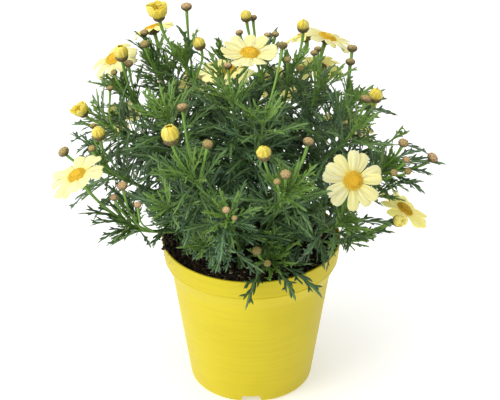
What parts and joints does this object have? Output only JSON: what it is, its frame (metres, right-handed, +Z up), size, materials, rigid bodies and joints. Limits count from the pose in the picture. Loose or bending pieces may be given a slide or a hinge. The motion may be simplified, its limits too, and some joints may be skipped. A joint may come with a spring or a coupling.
{
  "type": "potted marguerite daisy",
  "caption": "Marguerite daisy in bloom in a yellow nursery pot: leafy stems in soil, pale yellow rays round golden discs, and buds.",
  "frame": {"origin": "middle of the pot's flat base, where it stands", "axes": "+Z up through the pot's axis, -Y towards the side that the picture shows, +X to its right"},
  "size_m": [0.272, 0.2474, 0.2851],
  "materials": {
    "pot": "satin",
    "soil": "matte",
    "foliage": "matte",
    "rays": "matte",
    "disc": "matte",
    "young_rays": "matte"
  },
  "bodies": {
    "root": {"pot": "pot", "soil": "soil", "stem_left_low": "foliage", "stem_left": "foliage", "stem_front_left": "foliage", "stem_left_upper": "foliage", "stem_top_left": "foliage", "stem_top": "foliage", "stem_middle": "foliage", "stem_front_low_left": "foliage", "stem_front_low": "foliage", "stem_top_right": "foliage", "stem_right_upper": "foliage", "stem_right": "foliage", "stem_right_low": "foliage", "stem_back_left": "foliage", "stem_back": "foliage", "stem_back_right": "foliage", "bloom_01_rays": "rays", "bloom_01_disc": "disc", "bloom_02_rays": "rays", "bloom_02_disc": "disc", "bloom_03_rays": "rays", "bloom_03_disc": "disc", "bloom_04_rays": "rays", "bloom_04_disc": "disc", "bloom_05_rays": "rays", "bloom_05_disc": "disc", "bloom_06_rays": "rays", "bloom_06_disc": "disc", "bloom_07_rays": "rays", "bloom_07_disc": "disc", "bloom_08_rays": "rays", "bloom_08_disc": "disc", "bloom_09_rays": "rays", "bloom_09_disc": "disc", "bloom_10_rays": "rays", "bloom_10_disc": "disc", "bloom_11_rays": "rays", "bloom_11_disc": "disc", "bloom_12_rays": "rays", "bloom_12_disc": "disc", "bloom_13_rays": "rays", "bloom_13_disc": "disc", "bloom_14_rays": "rays", "bloom_14_disc": "disc", "half_open_01_rays": "young_rays", "half_open_02_rays": "young_rays", "yellow_bud_01": "young_rays", "yellow_bud_02": "young_rays", "yellow_bud_03": "young_rays", "yellow_bud_04": "young_rays", "yellow_bud_05": "young_rays", "yellow_bud_06": "young_rays", "yellow_bud_07": "young_rays", "yellow_bud_08": "young_rays", "yellow_bud_09": "young_rays", "yellow_bud_10": "young_rays", "yellow_bud_11": "young_rays"}
  },
  "joints": []
}
